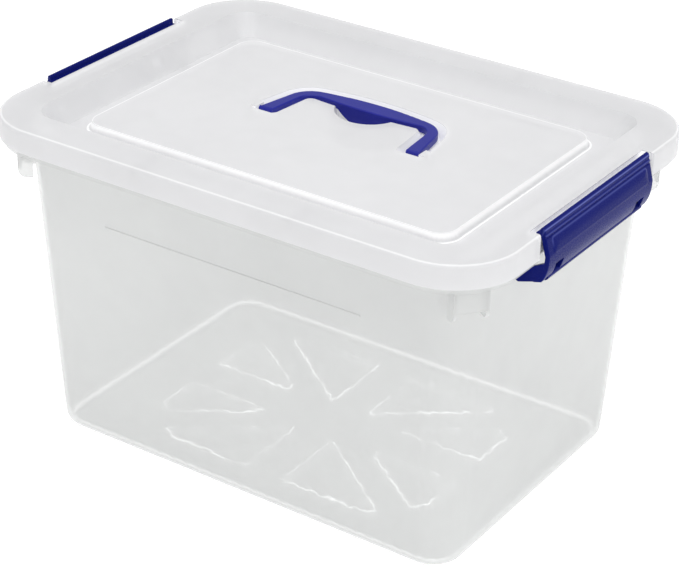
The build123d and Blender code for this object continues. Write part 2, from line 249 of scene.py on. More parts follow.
outer_foot = [wall_row(foot_round * (1 - math.cos(turn)), foot_round * (1 - math.sin(turn)))
              for turn in quarter_turn[::-1]]
under_rows = [np.array(wall_row(0, foot_round)) * [share, share, share, 1] for share in (0.6, 0.04)]
tub_rows = np.array(floor_rows + inner_foot + inner_wall + lip_rows + outer_wall + outer_foot + under_rows)

columns = ring_columns(ring_count, top_half, top_corner)
tub_grid = rings(tub_rows, columns)
flutes = round(columns[3] / flute_pitch)
reeds = np.abs(np.sin(math.pi * flutes * columns[2] / columns[3]))
scallops = np.abs(np.sin(math.pi * round(columns[3] / scallop_pitch) * columns[2] / columns[3]))
inward = np.zeros(tub_grid.shape[:2])
foot_start = len(floor_rows) - 1
wall_start = len(floor_rows) + len(inner_foot)
wall_end = wall_start + len(inner_wall)
inward[foot_start:wall_start] = scallop_depth * scallops * np.linspace(0.6, 1, 7)[:, None]
inward[wall_start:wall_end] = flute_depth * reeds * np.linspace(1, 0.25, len(inner_wall))[:, None]
inward[wall_start:wall_start + 2] += scallop_depth * scallops * np.array([0.6, 0.1])[:, None]
tub_grid[:, :, :2] -= inward[:, :, None] * columns[1].T[None]

lip_start = wall_end + 1
lip_end = wall_end + len(lip_rows)
lip = tub_grid[lip_start:lip_end]
lip_inset = lip_half[0] - tub_rows[lip_start:lip_end, 0]
recessed = recess_x - (lid_high[0] - lip_half[0]) - lip_inset
inside_recess = np.abs(lip[:, :, 1]) < recess_half + (lid_high[0] - lip_half[0]) + lip_inset[:, None]
limit = np.where(inside_recess, recessed[:, None], np.inf)
lip[:, :, 0] = np.clip(lip[:, :, 0], -limit, limit)

tub_points = [tub_grid.reshape(-1, 3)]
tub_faces = grid_faces(len(tub_rows), ring_count)
last_ring = (len(tub_rows) - 1) * ring_count
poles = len(tub_points[0])
tub_points.append(np.array([[0, 0, wall], [0, 0, 0]]))
around = np.arange(ring_count)
beside = (around + 1) % ring_count
tub_faces += np.stack([around * 0 + poles, around, beside], axis=1).tolist()
tub_faces += np.stack([around * 0 + poles + 1, last_ring + beside, last_ring + around], axis=1).tolist()
floor_grid = tub_grid[:foot_start + 1]
for wedge in (end_wedge, side_wedge):
    depth = inside_distance(np.abs(floor_grid[:, :, :2]), wedge)
    floor_grid[:, :, 2] += wedge_height * smooth_step(depth, -0.4, 1.6)
# a painted highlight along the foot's rounded rows: the tub's material makes them whiter, more opaque and
# glowing
foot_highlight = np.zeros(tub_grid.shape[:2])
foot_highlight[foot_start + 1:wall_start] = np.array([0.1, 0.45, 0.75, 0.2, 0.05, 0])[:, None]
painted_highlight_masks = [foot_highlight.ravel(), np.zeros(2)]


def add_shell(points, faces):
    """Adds a closed shell to the tub, with no painted highlight on it."""
    first = sum(len(part) for part in tub_points)
    tub_points.append(points)
    tub_faces.extend([[first + corner for corner in face] for face in faces])
    painted_highlight_masks.append(np.zeros(len(points)))


def rounded_outline(corners, radii):
    """A closed outline with each corner turned by an arc, given by its radius: the arc's ends
    lie radius / tan(half the corner's angle) from the corner."""
    outline = []
    count = len(corners)
    for index in range(count):
        corner = np.array(corners[index], float)
        before = np.array(corners[index - 1], float) - corner
        after = np.array(corners[(index + 1) % count], float) - corner
        before, after = before / np.linalg.norm(before), after / np.linalg.norm(after)
        half_angle = math.acos(np.clip(before @ after, -1, 1)) / 2
        middle = (before + after) / np.linalg.norm(before + after)
        centre = corner + middle * radii[index] / math.sin(half_angle)
        start = corner + before * radii[index] / math.tan(half_angle) - centre
        end = corner + after * radii[index] / math.tan(half_angle) - centre
        share = np.linspace(0, 1, arc_points)[:, None]
        swing = math.pi - 2 * half_angle
        arc = (np.sin((1 - share) * swing) * start + np.sin(share * swing) * end) / math.sin(swing)
        outline.append(centre + arc)
    return np.concatenate(outline)


def prism(profile, across, middle, half_width):
    """A closed prism: an anticlockwise profile of (outward, up) points, carried both ways across
    by half_width from middle. across is the unit direction in plan, and outward is square to it."""
    outward_direction = np.array([across[1], -across[0]])
    flat = profile[:, :1] * outward_direction
    ends = [np.column_stack([flat + (middle + end) * across, profile[:, 1]])
            for end in (-half_width, half_width)]
    count = len(profile)
    faces = [[k, count + k, count + (k + 1) % count, (k + 1) % count] for k in range(count)]
    faces += [list(range(count)), list(range(count, 2 * count))[::-1]]
    return np.concatenate(ends), faces


# the corner lugs, each two side plates and a front plate, under the flange
lug_half = 12.0
lug_drop = 25.0
lug_round = 6.0
lug_back = top_corner - 1.2
lug_out = top_corner + 9.0
lug_low = lip_bottom - lug_drop
lug_high = tub_top - wall / 2
lug_side = rounded_outline([(lug_back, lug_low), (lug_out, lug_low),
                            (lug_out, lug_high), (lug_back, lug_high)], [0.8, lug_round, 0.3, 0.3])
lug_front = rounded_outline([(lug_out - wall, lug_low + lug_round), (lug_out, lug_low + lug_round),
                             (lug_out, lug_high), (lug_out - wall, lug_high)], [0.8, 0.8, 0.3, 0.3])
corner_centre = top_half - top_corner
for sx, sy in ((1, 1), (-1, 1), (-1, -1), (1, -1)):
    towards = lid_high[:2] * [sx, sy] / np.linalg.norm(lid_high[:2])
    across = np.array([-towards[1], towards[0]])
    for profile, middle, half_width in ((lug_side, lug_half - wall / 2, wall / 2),
                                        (lug_side, wall / 2 - lug_half, wall / 2),
                                        (lug_front, 0, lug_half - 1)):
        points, faces = prism(profile, across, middle, half_width)
        points[:, :2] += corner_centre * [sx, sy]
        add_shell(points, faces)

# the ears and stubs that each latch turns on
hinge = np.array([183.2, 208.5])
ear_radius = 4.2
ear_middle, ear_half = 61.6, 3.5
stub_radius = 2.2
stub_middle, stub_half = 66.0, 2.4


def arc_outline(centre, radius, degrees):
    """Points on an arc in (outward, up): centre + radius (cos, sin) of each angle."""
    turn = np.radians(degrees)
    return centre + radius * np.stack([np.cos(turn), np.sin(turn)], axis=1)


full_turn = np.arange(0, 360, 15)
ear_profile = np.concatenate([arc_outline(hinge, ear_radius, np.linspace(180, 360, 17)),
                              [(hinge[0] + ear_radius, lug_high), (hinge[0] - ear_radius, lug_high)]])
stub_profile = arc_outline(hinge, stub_radius, full_turn)
for side in (1, -1):
    for end in (1, -1):
        for profile, middle, half_width in ((ear_profile, ear_middle, ear_half),
                                            (stub_profile, stub_middle, stub_half)):
            points, faces = prism(profile, np.array([0.0, side]), side * end * middle, half_width)
            add_shell(points, faces)

# the ledge across the front wall, a low bead on its outer face
ledge_height = 179.0
ledge_half = 103.0
ledge_root = base_half[1] + draft * ledge_height / tub_top - 0.4
ledge_face = ledge_root + 0.85
ledge_profile = rounded_outline([(ledge_root, ledge_height - 0.8), (ledge_face, ledge_height - 0.5),
                                 (ledge_face, ledge_height + 0.5), (ledge_root, ledge_height + 0.8)],
                                [0.2, 0.3, 0.3, 0.2])
for side in (1, -1):
    add_shell(*prism(ledge_profile, np.array([side, 0.0]), 0, ledge_half))

tub = moulding("tub_moulding", np.concatenate(tub_points), tub_faces,
               {"painted_highlight": np.concatenate(painted_highlight_masks)})


def milky_group():
    """Cloudiness of unpigmented plastic: soft clouds that follow its flow in the mould, and a
    fine speckle. Out come a 0 to 1 cloud, a 0 to 1 speckle, and a height for the bump."""
    group = bpy.data.node_groups.new("milky_plastic", "ShaderNodeTree")
    for name, size in (("Cloud Size", 14.0), ("Speckle Size", 900.0)):
        socket = group.interface.new_socket(name, in_out="INPUT", socket_type="NodeSocketFloat")
        socket.default_value = size
    for socket in ("Cloud", "Speckle", "Height"):
        group.interface.new_socket(socket, in_out="OUTPUT", socket_type="NodeSocketFloat")
    nodes, links = group.nodes, group.links
    given = nodes.new("NodeGroupInput")
    result = nodes.new("NodeGroupOutput")
    place = nodes.new("ShaderNodeTexCoord")
    clouds = nodes.new("ShaderNodeTexNoise")
    clouds.inputs["Detail"].default_value = 3
    clouds.inputs["Roughness"].default_value = 0.5
    speckle = nodes.new("ShaderNodeTexNoise")
    speckle.inputs["Detail"].default_value = 2
    links.new(place.outputs["Object"], clouds.inputs["Vector"])
    links.new(place.outputs["Object"], speckle.inputs["Vector"])
    links.new(given.outputs["Cloud Size"], clouds.inputs["Scale"])
    links.new(given.outputs["Speckle Size"], speckle.inputs["Scale"])
    spread = nodes.new("ShaderNodeMapRange")
    spread.inputs["From Min"].default_value = 0.35
    spread.inputs["From Max"].default_value = 0.65
    links.new(clouds.outputs["Fac"], spread.inputs["Value"])
    both = nodes.new("ShaderNodeMath")
    both.operation = "MULTIPLY_ADD"
    both.inputs[1].default_value = 0.4
    links.new(spread.outputs["Result"], both.inputs[0])
    links.new(speckle.outputs["Fac"], both.inputs[2])
    links.new(spread.outputs["Result"], result.inputs["Cloud"])
    links.new(speckle.outputs["Fac"], result.inputs["Speckle"])
    links.new(both.outputs["Value"], result.inputs["Height"])
    return group


milky = milky_group()


def ranged(nodes, links, source, low, high):
    """A node that turns a 0 to 1 value into one between low and high."""
    node = nodes.new("ShaderNodeMapRange")
    node.inputs["To Min"].default_value = low
    node.inputs["To Max"].default_value = high
    links.new(source, node.inputs["Value"])
    return node.outputs["Result"]


def blended(nodes, links, source, low, high):
    """A node that mixes from the colour low to the colour high as a value goes from 0 to 1."""
    node = nodes.new("ShaderNodeMix")
    node.data_type = "RGBA"
    node.inputs["A"].default_value = (*low, 1)
    node.inputs["B"].default_value = (*high, 1)
    links.new(source, node.inputs["Factor"])
    return node.outputs["Result"]


def placed_group(nodes, tree, values):
    """A node group placed among a material's nodes, with its constants on its own sockets."""
    node = nodes.new("ShaderNodeGroup")
    node.node_tree = tree
    for socket, value in values.items():
        node.inputs[socket].default_value = value
    return node


def milky_material(name, shade, pale, rough, alpha, bump):
    """Unpigmented plastic: its colour and alpha drift with the clouds, from shade to pale and
    over the range alpha, and its gloss and bump come from the speckle."""
    material = bpy.data.materials.new(name)
    material.use_nodes = True
    nodes, links = material.node_tree.nodes, material.node_tree.links
    shader = nodes["Principled BSDF"]
    shader.inputs["IOR"].default_value = 1.49
    clouds = placed_group(nodes, milky, {})
    relief = nodes.new("ShaderNodeBump")
    relief.inputs["Strength"].default_value = bump
    relief.inputs["Distance"].default_value = 0.0002
    links.new(blended(nodes, links, clouds.outputs["Cloud"], shade, pale), shader.inputs["Base Color"])
    links.new(ranged(nodes, links, clouds.outputs["Speckle"], *rough), shader.inputs["Roughness"])
    links.new(ranged(nodes, links, clouds.outputs["Cloud"], *alpha), shader.inputs["Alpha"])
    links.new(clouds.outputs["Height"], relief.inputs["Height"])
    links.new(relief.outputs["Normal"], shader.inputs["Normal"])
    return material


def lightened(material, mask, colour, thicker, glow=0):
    """Paints a highlight: mixes a material's base colour towards a lighter one where the mask is
    high, and adds thicker times the mask to its alpha. Glow is painted light, an emission that
    follows the mask too."""
    nodes, links = material.node_tree.nodes, material.node_tree.links
    shader = nodes["Principled BSDF"]
    mix = nodes.new("ShaderNodeMix")
    mix.data_type = "RGBA"
    mix.inputs["B"].default_value = (*colour, 1)
    links.new(mask, mix.inputs["Factor"])
    links.new(shader.inputs["Base Color"].links[0].from_socket, mix.inputs["A"])
    links.new(mix.outputs["Result"], shader.inputs["Base Color"])
    if thicker:
        more = nodes.new("ShaderNodeMath")
        more.operation = "MULTIPLY_ADD"
        more.use_clamp = True
        more.inputs[1].default_value = thicker
        links.new(mask, more.inputs[0])
        links.new(shader.inputs["Alpha"].links[0].from_socket, more.inputs[2])
        links.new(more.outputs["Value"], shader.inputs["Alpha"])
    if glow:
        shader.inputs["Emission Color"].default_value = (1, 1, 1, 1)
        links.new(ranged(nodes, links, mask, 0, glow), shader.inputs["Emission Strength"])


def painted_highlight_of(material):
    """The mesh's own painted highlight mask, as an output in the material's nodes."""
    painted_highlight = material.node_tree.nodes.new("ShaderNodeAttribute")
    painted_highlight.attribute_name = "painted_highlight"
    return painted_highlight.outputs["Fac"]


def vector_step(nodes, links, operation, first, second=None, output="Vector"):
    """One step of vector arithmetic. The second value is a socket, or a constant."""
    step = nodes.new("ShaderNodeVectorMath")
    step.operation = operation
    links.new(first, step.inputs[0])
    if isinstance(second, bpy.types.NodeSocket):
        links.new(second, step.inputs[1])
    elif second is not None:
        step.inputs[1].default_value = second
    return step.outputs[output]


def math_step(nodes, links, operation, first, second=None):
    """One step of arithmetic. The second value is a socket, or a constant."""
    step = nodes.new("ShaderNodeMath")
    step.operation = operation
    links.new(first, step.inputs[0])
    if isinstance(second, bpy.types.NodeSocket):
        links.new(second, step.inputs[1])
    elif second is not None:
        step.inputs[1].default_value = second
    return step.outputs["Value"]


def segment_group():
    """Distance from a point p to the run from a to b: the length of (p - a) - h (b - a), where
    h is (p - a).(b - a) / (b - a).(b - a), kept between 0 and 1."""
    group = bpy.data.node_groups.new("segment_distance", "ShaderNodeTree")
    for socket in ("Point", "Start", "End"):
        group.interface.new_socket(socket, in_out="INPUT", socket_type="NodeSocketVector")
    group.interface.new_socket("Distance", in_out="OUTPUT", socket_type="NodeSocketFloat")
    nodes, links = group.nodes, group.links
    given = nodes.new("NodeGroupInput")
    result = nodes.new("NodeGroupOutput")
    from_start = vector_step(nodes, links, "SUBTRACT", given.outputs["Point"], given.outputs["Start"])
    run = vector_step(nodes, links, "SUBTRACT", given.outputs["End"], given.outputs["Start"])
    along = vector_step(nodes, links, "DOT_PRODUCT", from_start, run, "Value")
    whole = vector_step(nodes, links, "DOT_PRODUCT", run, run, "Value")
    share = math_step(nodes, links, "DIVIDE", along, whole)
    share = math_step(nodes, links, "MINIMUM", math_step(nodes, links, "MAXIMUM", share, 0), 1)
    reached = nodes.new("ShaderNodeVectorMath")
    reached.operation = "SCALE"
    links.new(run, reached.inputs[0])
    links.new(share, reached.inputs["Scale"])
    apart = vector_step(nodes, links, "SUBTRACT", from_start, reached.outputs["Vector"])
    links.new(vector_step(nodes, links, "LENGTH", apart, output="Value"), result.inputs["Distance"])
    return group


def wedge_line_group(segment):
    """The floor's bead lines: a soft line over every side of the wedges, made wavy by a noise
    that shifts the point by up to a millimetre or so, and stronger and fainter by a second
    one. It acts on the floor's upper face only. The lines stand in for beads: the material makes
    them whiter and more opaque, as thicker plastic, and paints a glow on them as their highlight."""
    group = bpy.data.node_groups.new("wedge_lines", "ShaderNodeTree")
    group.interface.new_socket("Line", in_out="OUTPUT", socket_type="NodeSocketFloat")
    nodes, links = group.nodes, group.links
    result = nodes.new("NodeGroupOutput")
    place = nodes.new("ShaderNodeTexCoord").outputs["Object"]
    wobble = nodes.new("ShaderNodeTexNoise")
    wobble.inputs["Scale"].default_value = 130
    wobble.inputs["Detail"].default_value = 1
    links.new(place, wobble.inputs["Vector"])
    shift = vector_step(nodes, links, "SUBTRACT", wobble.outputs["Color"], (0.5, 0.5, 0.5))
    shift = vector_step(nodes, links, "MULTIPLY", shift, (6.0, 6.0, 0))
    point = vector_step(nodes, links, "MULTIPLY", place, (1 / MM, 1 / MM, 0))
    point = vector_step(nodes, links, "ADD", vector_step(nodes, links, "ABSOLUTE", point), shift)
    nearest = None
    for wedge in (end_wedge, side_wedge):
        for start, end in zip(wedge, wedge[1:] + wedge[:1]):
            side = placed_group(nodes, segment, {"Start": (*start, 0), "End": (*end, 0)})
            links.new(point, side.inputs["Point"])
            distance = side.outputs["Distance"]
            nearest = distance if nearest is None else math_step(nodes, links, "MINIMUM", nearest, distance)
    fade = nodes.new("ShaderNodeMapRange")
    fade.interpolation_type = "SMOOTHSTEP"
    fade.inputs["From Max"].default_value = 1.25
    fade.inputs["To Max"].default_value = 0
    links.new(nearest, fade.inputs["Value"])
    breaks = nodes.new("ShaderNodeTexNoise")
    breaks.inputs["Scale"].default_value = 32
    links.new(place, breaks.inputs["Vector"])
    broken = nodes.new("ShaderNodeMapRange")
    broken.inputs["From Min"].default_value = 0.36
    broken.inputs["From Max"].default_value = 0.52
    broken.inputs["To Min"].default_value = 0.45
    links.new(breaks.outputs["Fac"], broken.inputs["Value"])
    links.new(broken.outputs["Result"], fade.inputs["To Min"])
    split = nodes.new("ShaderNodeSeparateXYZ")
    links.new(place, split.inputs["Vector"])
    upper = math_step(nodes, links, "GREATER_THAN", split.outputs["Z"], 0.8 * wall * MM)
    floor_only = math_step(nodes, links, "LESS_THAN", split.outputs["Z"], 2.5 * wall * MM)
    kept = math_step(nodes, links, "MULTIPLY", math_step(nodes, links, "MULTIPLY", upper, floor_only),
                     fade.outputs["Result"])
    links.new(kept, result.inputs["Line"])
    return group


tub_plastic = milky_material("natural_polypropylene", shade=(0.78, 0.79, 0.785), pale=(0.80, 0.81, 0.805),
                             rough=(0.28, 0.4), alpha=(0.40, 0.42), bump=0.12)
segment_distance = segment_group()
nodes, links = tub_plastic.node_tree.nodes, tub_plastic.node_tree.links
# the bead lines and the foot's painted highlight: whiter, more opaque, and with a painted glow
wedge_line = placed_group(nodes, wedge_line_group(segment_distance), {}).outputs["Line"]
strongest = math_step(nodes, links, "MAXIMUM", painted_highlight_of(tub_plastic), wedge_line)
lightened(tub_plastic, strongest, (1.0, 1.0, 1.0), thicker=0.5, glow=0.85)
tub.data.materials.append(tub_plastic)
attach(tub, "tub")
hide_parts("tub")

# ------------------------------------------------------------------ lid
# A thinner moulding of the same plastic with a frosted upper face. It is whiter and less
# see-through than the tub, and its edges are softly rounded. Their whiter material and the lines
# along them are painted highlights, and painted light lifts the shade in the latch pockets and
# the handle's groove.
lid_edge_round = 0.7


def softened(name, node, width, segments, sharp):
    """A CAD node's shape as a new piece, with its doubled points merged, its flat faces joined
    up, and its edges over the sharp angle rounded. The rounded faces take the second material."""
    shape = bmesh.new()
    shape.from_mesh(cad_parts[node].data)
    bmesh.ops.remove_doubles(shape, verts=shape.verts, dist=0.004 * MM)
    bmesh.ops.dissolve_limit(shape, angle_limit=math.radians(0.3), verts=shape.verts, edges=shape.edges)
    mesh = bpy.data.meshes.new(name)
    shape.to_mesh(mesh)
    shape.free()
    mesh.materials.clear()
    mesh.shade_smooth()
    piece = bpy.data.objects.new(name, mesh)
    bpy.context.scene.collection.objects.link(piece)
    bevel = piece.modifiers.new("soft_edges", "BEVEL")
    bevel.width = width * MM
    bevel.segments = segments
    bevel.limit_method = "ANGLE"
    bevel.angle_limit = math.radians(sharp)
    bevel.material = 1
    piece.modifiers.new("flat_faces", "WEIGHTED_NORMAL").weight = 90
    return piece


def outline_group():
    """A soft line along a rounded rectangle in plan: its distance is the length of the part of
    (|x|, |y|) beyond the straight half sides, less the corner's radius, all in millimetres."""
    group = bpy.data.node_groups.new("outline_line", "ShaderNodeTree")
    group.interface.new_socket("Straight", in_out="INPUT", socket_type="NodeSocketVector")
    for socket in ("Corner", "Width", "Strength"):
        group.interface.new_socket(socket, in_out="INPUT", socket_type="NodeSocketFloat")
    group.interface.new_socket("Line", in_out="OUTPUT", socket_type="NodeSocketFloat")
    nodes, links = group.nodes, group.links
    given = nodes.new("NodeGroupInput")
    result = nodes.new("NodeGroupOutput")
    point = vector_step(nodes, links, "MULTIPLY", nodes.new("ShaderNodeTexCoord").outputs["Object"],
                        (1 / MM, 1 / MM, 0))
    beyond = vector_step(nodes, links, "SUBTRACT", vector_step(nodes, links, "ABSOLUTE", point),
                         given.outputs["Straight"])
    beyond = vector_step(nodes, links, "MAXIMUM", beyond, (0, 0, 0))
    beyond = vector_step(nodes, links, "LENGTH", beyond, output="Value")
    distance = math_step(nodes, links, "SUBTRACT", beyond, given.outputs["Corner"])
    distance = math_step(nodes, links, "ABSOLUTE", distance)
    fade = nodes.new("ShaderNodeMapRange")
    fade.interpolation_type = "SMOOTHSTEP"
    fade.inputs["To Max"].default_value = 0
    links.new(distance, fade.inputs["Value"])
    links.new(given.outputs["Strength"], fade.inputs["To Min"])
    links.new(given.outputs["Width"], fade.inputs["From Max"])
    links.new(fade.outputs["Result"], result.inputs["Line"])
    return group


# painted highlights along the edges: the rim's outer edge, the raised panel's brink and the panel's foot
edge_lines = (((198.4, 145.9), 46.4, 1.1, 0.35), ((144.9, 94.4), 13.0, 1.4, 0.7),
              ((147.5, 97.1), 15.4, 1.2, 0.55))
# and painted light that lifts the shade in the pockets behind the latches and in the groove
# round the handle, each a run in one quarter with its reach, its strength, its least and greatest
# height, and its least Y
painted_light_runs = (((193.0, 0.0), (193.0, 73.5), 5.0, 0.8, 237.5, 243.2, -73.5),
             ((60.5, 0.0), (55.5, 36.0), 12.0, 0.5, 219.0, 234.2, -7.5),
             ((50.0, 43.0), (0.0, 46.0), 12.0, 0.5, 219.0, 234.2, -7.5))
edge_line = outline_group()


def lid_painted_light(material):
    """The strongest of the lid's painted highlights along its edges and its painted light in the pockets
    and groove, as an output in the material's nodes.
    """
    nodes, links = material.node_tree.nodes, material.node_tree.links
    strongest = None
    for half, corner, width, strength in edge_lines:
        line_out = placed_group(nodes, edge_line, {"Straight": (half[0] - corner, half[1] - corner, 0),
                                                   "Corner": corner, "Width": width,
                                                   "Strength": strength}).outputs["Line"]
        strongest = (line_out if strongest is None
                     else math_step(nodes, links, "MAXIMUM", strongest, line_out))
    place = nodes.new("ShaderNodeTexCoord").outputs["Object"]
    split = nodes.new("ShaderNodeSeparateXYZ")
    links.new(place, split.inputs["Vector"])
    point = vector_step(nodes, links, "MULTIPLY", place, (1 / MM, 1 / MM, 0))
    point = vector_step(nodes, links, "ABSOLUTE", point)
    for start, end, reach, strength, bottom, top, least_y in painted_light_runs:
        run_node = placed_group(nodes, segment_distance, {"Start": (*start, 0), "End": (*end, 0)})
        links.new(point, run_node.inputs["Point"])
        fade = nodes.new("ShaderNodeMapRange")
        fade.interpolation_type = "SMOOTHSTEP"
        fade.inputs["From Min"].default_value = 0.7 * reach
        fade.inputs["From Max"].default_value = reach
        fade.inputs["To Min"].default_value = strength
        fade.inputs["To Max"].default_value = 0
        links.new(run_node.outputs["Distance"], fade.inputs["Value"])
        soft = fade.outputs["Result"]
        for test, axis, edge in (("LESS_THAN", "Z", top), ("GREATER_THAN", "Z", bottom),
                                 ("GREATER_THAN", "Y", least_y)):
            soft = math_step(nodes, links, "MULTIPLY", soft,
                             math_step(nodes, links, test, split.outputs[axis], edge * MM))
        strongest = math_step(nodes, links, "MAXIMUM", strongest, soft)
    return strongest


lid = softened("lid_moulding", "lid", width=lid_edge_round, segments=3, sharp=28)
lid_plastic = milky_material("frosted_lid", shade=(0.835, 0.835, 0.85), pale=(0.85, 0.85, 0.865),
                             rough=(0.4, 0.5), alpha=(0.64, 0.68), bump=0.25)
# painted highlights and painted light on the lid: whiter, a little more opaque and glowing where the mask
# is high
lightened(lid_plastic, lid_painted_light(lid_plastic), (1.0, 1.0, 1.0), thicker=0.25, glow=0.3)
lid.data.materials.append(lid_plastic)
# the rounded edges take a whiter, more opaque copy of the lid's plastic, a painted highlight
lid.data.materials.append(milky_material("frosted_lid_edge_highlight", shade=(0.97, 0.97, 0.975),
                                         pale=(0.99, 0.99, 0.99), rough=(0.25, 0.35),
                                         alpha=(0.8, 0.85), bump=0.1))
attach(lid, "lid")
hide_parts("lid")

# ------------------------------------------------------------------ carry handle
# One moulding in blue plastic, satin on top, with its edges rounded and a finger web below
# the grip. Its rounded edges take a lighter blue, a painted highlight. Its two pins snap into the lid.


def pigmented_group():
    """Moulded, pigmented plastic: a fine spark-eroded grain, and faint streaks where the
    pigment flowed. Out come a 0 to 1 streak, a 0 to 1 grain, and a height for the bump."""
    group = bpy.data.node_groups.new("pigmented_plastic", "ShaderNodeTree")
    grain_size = group.interface.new_socket("Grain Size", in_out="INPUT", socket_type="NodeSocketFloat")
    grain_size.default_value = 1800
    for socket in ("Streak", "Grain", "Height"):
        group.interface.new_socket(socket, in_out="OUTPUT", socket_type="NodeSocketFloat")
    nodes, links = group.nodes, group.links
    given = nodes.new("NodeGroupInput")
    result = nodes.new("NodeGroupOutput")
    place = nodes.new("ShaderNodeTexCoord")
    stretch = nodes.new("ShaderNodeMapping")
    stretch.inputs["Scale"].default_value = (60, 18, 60)
    streaks = nodes.new("ShaderNodeTexNoise")
    streaks.inputs["Scale"].default_value = 1.0
    streaks.inputs["Detail"].default_value = 3
    grain = nodes.new("ShaderNodeTexNoise")
    grain.inputs["Detail"].default_value = 2
    links.new(place.outputs["Object"], stretch.inputs["Vector"])
    links.new(stretch.outputs["Vector"], streaks.inputs["Vector"])
    links.new(place.outputs["Object"], grain.inputs["Vector"])
    links.new(given.outputs["Grain Size"], grain.inputs["Scale"])
    links.new(streaks.outputs["Fac"], result.inputs["Streak"])
    links.new(grain.outputs["Fac"], result.inputs["Grain"])
    links.new(grain.outputs["Fac"], result.inputs["Height"])
    return group


pigmented = pigmented_group()


def pigmented_material(name, deep, light, rough, gloss, bump):
    """Pigmented plastic whose colour drifts from deep to light along its flow streaks."""
    material = bpy.data.materials.new(name)
    material.use_nodes = True
    nodes, links = material.node_tree.nodes, material.node_tree.links
    shader = nodes["Principled BSDF"]
    shader.inputs["IOR"].default_value = 1.5
    shader.inputs["Specular IOR Level"].default_value = gloss
    marks = placed_group(nodes, pigmented, {})
    relief = nodes.new("ShaderNodeBump")
    relief.inputs["Strength"].default_value = bump
    relief.inputs["Distance"].default_value = 0.0001
    links.new(blended(nodes, links, marks.outputs["Streak"], deep, light), shader.inputs["Base Color"])
    links.new(ranged(nodes, links, marks.outputs["Grain"], *rough), shader.inputs["Roughness"])
    links.new(marks.outputs["Height"], relief.inputs["Height"])
    links.new(relief.outputs["Normal"], shader.inputs["Normal"])
    return material


handle = softened("handle_moulding", "carry_handle", width=0.35, segments=2, sharp=35)
handle.data.materials.append(pigmented_material("blue_plastic", deep=(0.008, 0.011, 0.24),
                                                light=(0.013, 0.018, 0.31), rough=(0.3, 0.42),
                                                gloss=0.32, bump=0.2))
# the rounded edges' lighter blue is a painted highlight
handle.data.materials.append(pigmented_material("blue_plastic_edge_highlight", deep=(0.03, 0.04, 0.36),
                                                light=(0.04, 0.05, 0.42), rough=(0.22, 0.3),
                                                gloss=0.4, bump=0.1))
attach(handle, "carry_handle")
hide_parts("carry_handle")

# ------------------------------------------------------------------ latches
# Two mouldings in navy plastic, one at each end. A hook sits over the lid's rim. Below it are
# a step, a rib and a long crowned panel, and a band with two windows turns in to the hinge.
# The top edge, the rib and the panel's rim carry a painted highlight in a paler blue.
latch_half = 68.5
latch_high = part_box("latch_right")[1][2] / MM
plate_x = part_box("latch_right")[1][0] / MM
plate_low = 227.5
band_bottom = 209.0
hook_x = 193.0
hook_low = 240.2
hook_high = 242.3
swing_radius = math.hypot(hook_x - hinge[0], hook_low - hinge[1])
panel_middle = 232.9
panel_half_height = 5.6
panel_margin = 6.0
panel_corner = 2.5
window_high = 219.0
window_sides = (48.0, 58.0)
cheek_middle, cheek_half = 67.05, 1.4
bar_centre = np.array([plate_x - 6.2, 210.0])
bar_radius = 2.9
bar_half = 62.0
latch_sharp = 40


def line(high, place, width):
    """A bell across a line at the height place: exp(-((high - place) / width) squared)."""
    return np.exp(-((high - place) / width) ** 2)


def panel_depth(across, high):
    """How far a point is inside the crowned panel's rounded outline, below 0 outside it."""
    beyond_y = np.abs(across) - (latch_half - panel_margin - panel_corner)
    beyond_z = np.abs(high - panel_middle) - (panel_half_height - panel_corner)
    return (panel_corner - np.hypot(np.maximum(beyond_y, 0), np.maximum(beyond_z, 0))
            - np.minimum(np.maximum(beyond_y, beyond_z), 0))


def plate_relief(across, high):
    """How far the latch's outer face stands proud: a step down below its top edge, a rib, a
    groove, and the panel, whose crown rises quickly at its edge and slowly to its middle."""
    step = 0.4 * smooth_step(high, 242.6, 243.6)
    depth = panel_depth(across, high)
    crown = 0.35 * smooth_step(depth, 0, 1.0) + 0.5 * smooth_step(depth, 0, panel_half_height)
    return step + 0.45 * line(high, 240.8, 0.6) - 0.4 * line(high, 239.2, 0.45) + crown


outer_z = np.concatenate([np.linspace(245.4, 237.8, 39), np.linspace(237.4, 227.6, 18),
                          np.linspace(227.0, window_high, 7), np.linspace(217.4, band_bottom, 8)])
above = np.clip((outer_z - plate_low) / (latch_high - plate_low), 0, 1)
below = np.clip((plate_low - outer_z) / (plate_low - band_bottom), 0, 1)
outer = np.column_stack([plate_x - 4.9 * above - 4.4 * below ** 2.6, outer_z])
crest = np.array([[plate_x - 7.0, 245.5], [plate_x - 6.7, 245.9], [plate_x - 5.7, latch_high],
                  [plate_x - 5.1, 245.8]])
band = np.array([[plate_x - 4.8, 208.7], [plate_x - 9.4, 207.4], [plate_x - 10, 207.4],
                 [plate_x - 10.1, 207.9], [plate_x - 10, 210.1], [plate_x - 6.4, 211.6],
                 [plate_x - 4.3, 214.6], [plate_x - 3.4, window_high], [plate_x - 2.8, 226.6]])
toe_x = np.array([197.0, 196.2, 195.4, 194.6, 193.9, 193.3])
toe = np.column_stack([toe_x, hinge[1] + np.sqrt(swing_radius ** 2 - (toe_x - hinge[0]) ** 2)])
hook = np.array([[hook_x, hook_low + 0.3], [hook_x, hook_high - 0.3], [hook_x + 0.3, hook_high],
                 [plate_x - 7.4, hook_high], [plate_x - 7.1, hook_high + 0.3]])
loop = np.concatenate([crest, outer, band, toe, hook])
near_ends = latch_half - np.array([0, 0.35, 1, 2, 3, 4, 5, 5.6, 6.2, 6.8, 7.4, 8, 8.6, 9.2, 10])
across = np.sort(np.concatenate([near_ends, np.linspace(*window_sides, 5), np.linspace(4, 44, 6)]))
across = np.concatenate([-across[::-1], [0.0], across])
shape = (len(loop), len(across))
